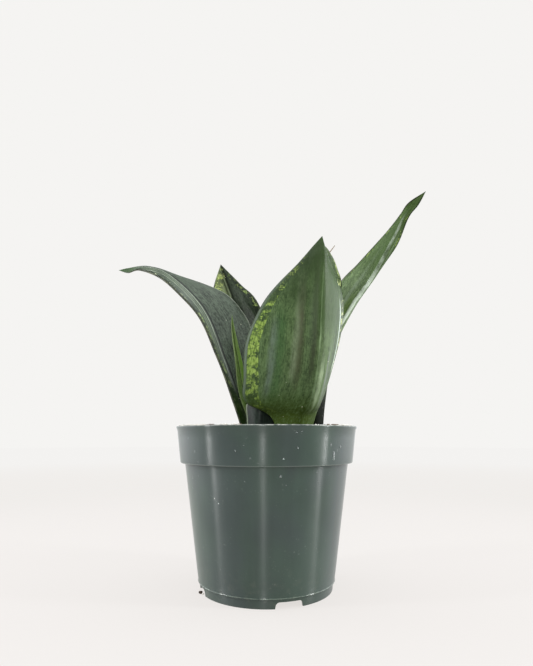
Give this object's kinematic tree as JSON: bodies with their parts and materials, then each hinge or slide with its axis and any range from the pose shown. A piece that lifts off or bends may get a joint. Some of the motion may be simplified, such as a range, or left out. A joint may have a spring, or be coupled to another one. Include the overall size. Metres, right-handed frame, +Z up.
{
  "type": "potted snake plant",
  "caption": "Young snake plant with broad, channelled, mottled leaves in a tapered round nursery pot with a collar, filled with bark mix.",
  "frame": {"origin": "on the pot's axis at the bottom of its foot ring, which is also the middle of the object's bounding box", "axes": "+Z up along the pot's axis; -Y is the front, which the broad front leaf's outer face looks towards; +X is to the right, where the tallest leaf leans"},
  "size_m": [0.1854, 0.108, 0.2335],
  "materials": {
    "pot_plastic": "semi-gloss blue-green moulded plastic",
    "potting_mix": "moist bark crumbs with white perlite",
    "leaf_dark": "waxy dark green leaf with lighter cross bands and mottled yellow-green margins",
    "leaf_grey": "waxy grey-green leaf with a blue-grey sheen and fine long veins",
    "leaf_young": "bright yellow-green young leaf",
    "sheath": "dark blue-grey leaf sheath with a pale margin"
  },
  "bodies": {
    "root": {"pot": "pot_plastic", "potting_mix": "potting_mix", "leaf_front": "leaf_dark", "leaf_left": "leaf_grey", "leaf_back": "leaf_grey", "leaf_right": "leaf_grey", "leaf_inner": "leaf_grey", "leaf_spear": "leaf_young", "basal_sheath": "sheath"}
  },
  "joints": []
}
